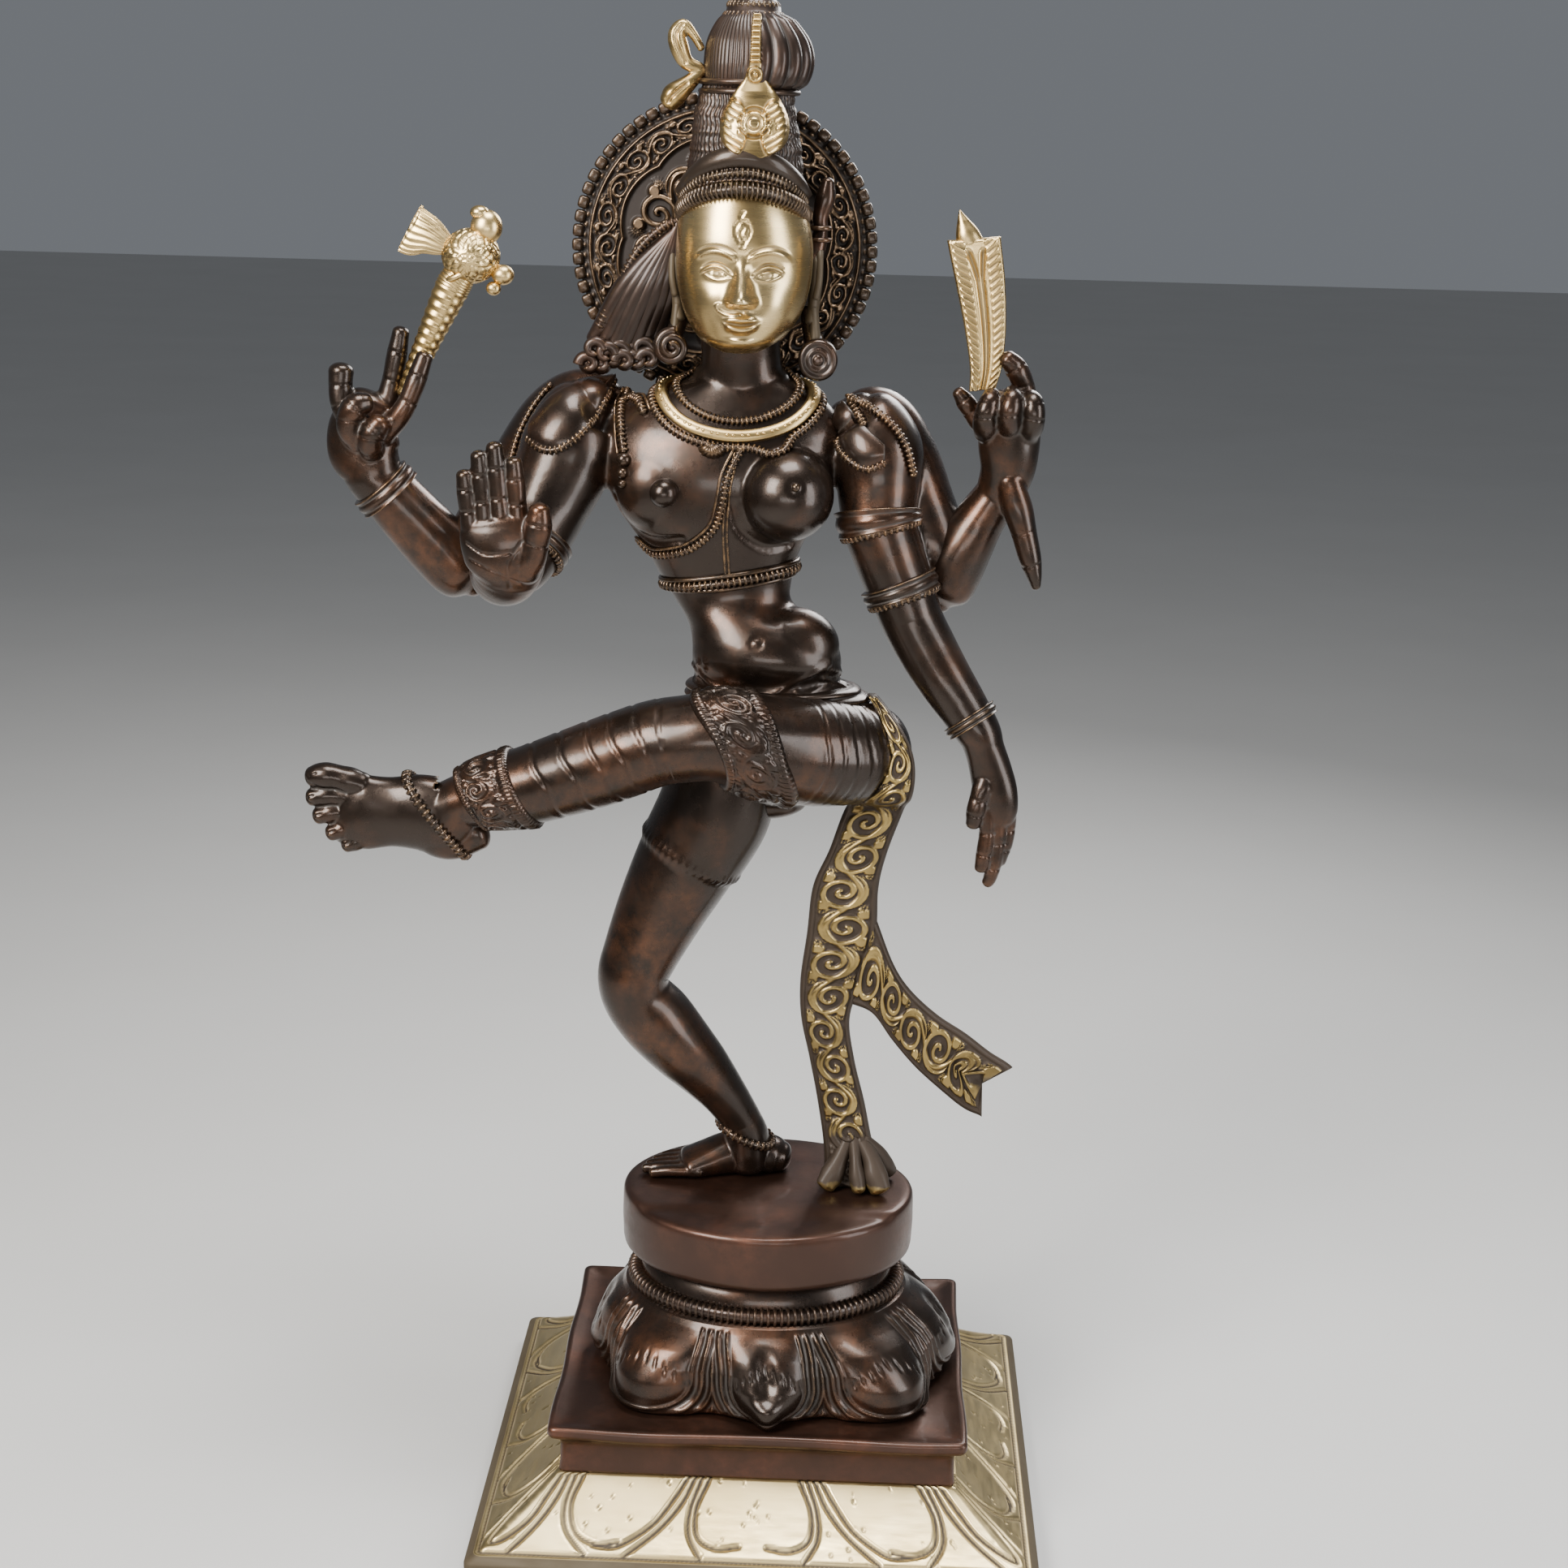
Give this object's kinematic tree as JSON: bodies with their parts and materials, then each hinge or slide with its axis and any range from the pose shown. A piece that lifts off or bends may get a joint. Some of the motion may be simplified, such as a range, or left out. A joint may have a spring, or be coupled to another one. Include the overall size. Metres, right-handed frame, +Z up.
{
  "type": "nataraja statue",
  "caption": "Dancing many-armed brass nataraja with raised leg, halo disc, scarf tails, axe and tablet, on a lotus drum, stepped plate and flared petal-engraved base",
  "frame": {"origin": "bottom centre of the box round the whole statue; the base is centred 29.2 mm to its +X side, under the drum", "axes": "+Z up; the figure faces -Y; +X is on the right of someone who faces it"},
  "size_m": [0.2474, 0.168, 0.5072],
  "materials": {
    "dark_patina": "dark brown antique patina, satin, coppery where rubbed",
    "rubbed_patina": "brown patina rubbed back to brass on raised edges",
    "relief_patina": "gold relief over a dark recessed ground",
    "polished_brass": "polished pale brass with dark cut lines",
    "face_brass": "polished brass face, dark patina on neck and ears",
    "fixing_steel": "plain steel"
  },
  "bodies": {
    "root": {"base_skirt": "polished_brass", "stepped_plinth": "dark_patina", "lotus_pedestal": "dark_patina", "beaded_ring": "rubbed_patina", "drum": "dark_patina", "fixing_stud": "fixing_steel", "fixing_washer": "fixing_steel", "fixing_nut": "fixing_steel", "torso": "dark_patina", "pelvis": "dark_patina", "head": "face_brass", "crown": "dark_patina", "hair_bun": "dark_patina", "finial": "dark_patina", "standing_thigh": "dark_patina", "standing_shin": "dark_patina", "standing_foot": "dark_patina", "raised_thigh": "dark_patina", "raised_shin": "dark_patina", "raised_foot": "dark_patina", "front_right_upper_arm": "dark_patina", "front_right_forearm": "dark_patina", "front_left_upper_arm": "dark_patina", "front_left_forearm": "dark_patina", "rear_right_upper_arm": "dark_patina", "rear_right_forearm": "dark_patina", "rear_left_upper_arm": "dark_patina", "rear_left_forearm": "dark_patina", "front_right_hand": "dark_patina", "rear_right_hand": "dark_patina", "rear_left_hand": "dark_patina", "front_left_hand": "dark_patina", "battle_axe": "polished_brass", "ribbed_tablet": "polished_brass", "halo_disc": "relief_patina", "necklace": "rubbed_patina", "chest_band": "rubbed_patina", "waist_cloth": "dark_patina", "right_epaulette": "dark_patina", "left_epaulette": "dark_patina", "front_right_armlet": "dark_patina", "front_left_armlet_upper": "dark_patina", "front_left_armlet_lower": "dark_patina", "front_left_bangle": "dark_patina", "rear_right_bangle": "dark_patina", "raised_knee_band": "dark_patina", "raised_shin_cuff": "dark_patina", "standing_anklet": "dark_patina", "raised_anklet": "dark_patina", "sash_long_tail": "relief_patina", "sash_side_tail": "relief_patina", "crown_plaque": "polished_brass", "crescent_ornament": "polished_brass", "right_ear_disc": "dark_patina", "left_ear_coil": "dark_patina", "ear_flower": "dark_patina", "hair_tassel": "dark_patina"}
  },
  "joints": []
}
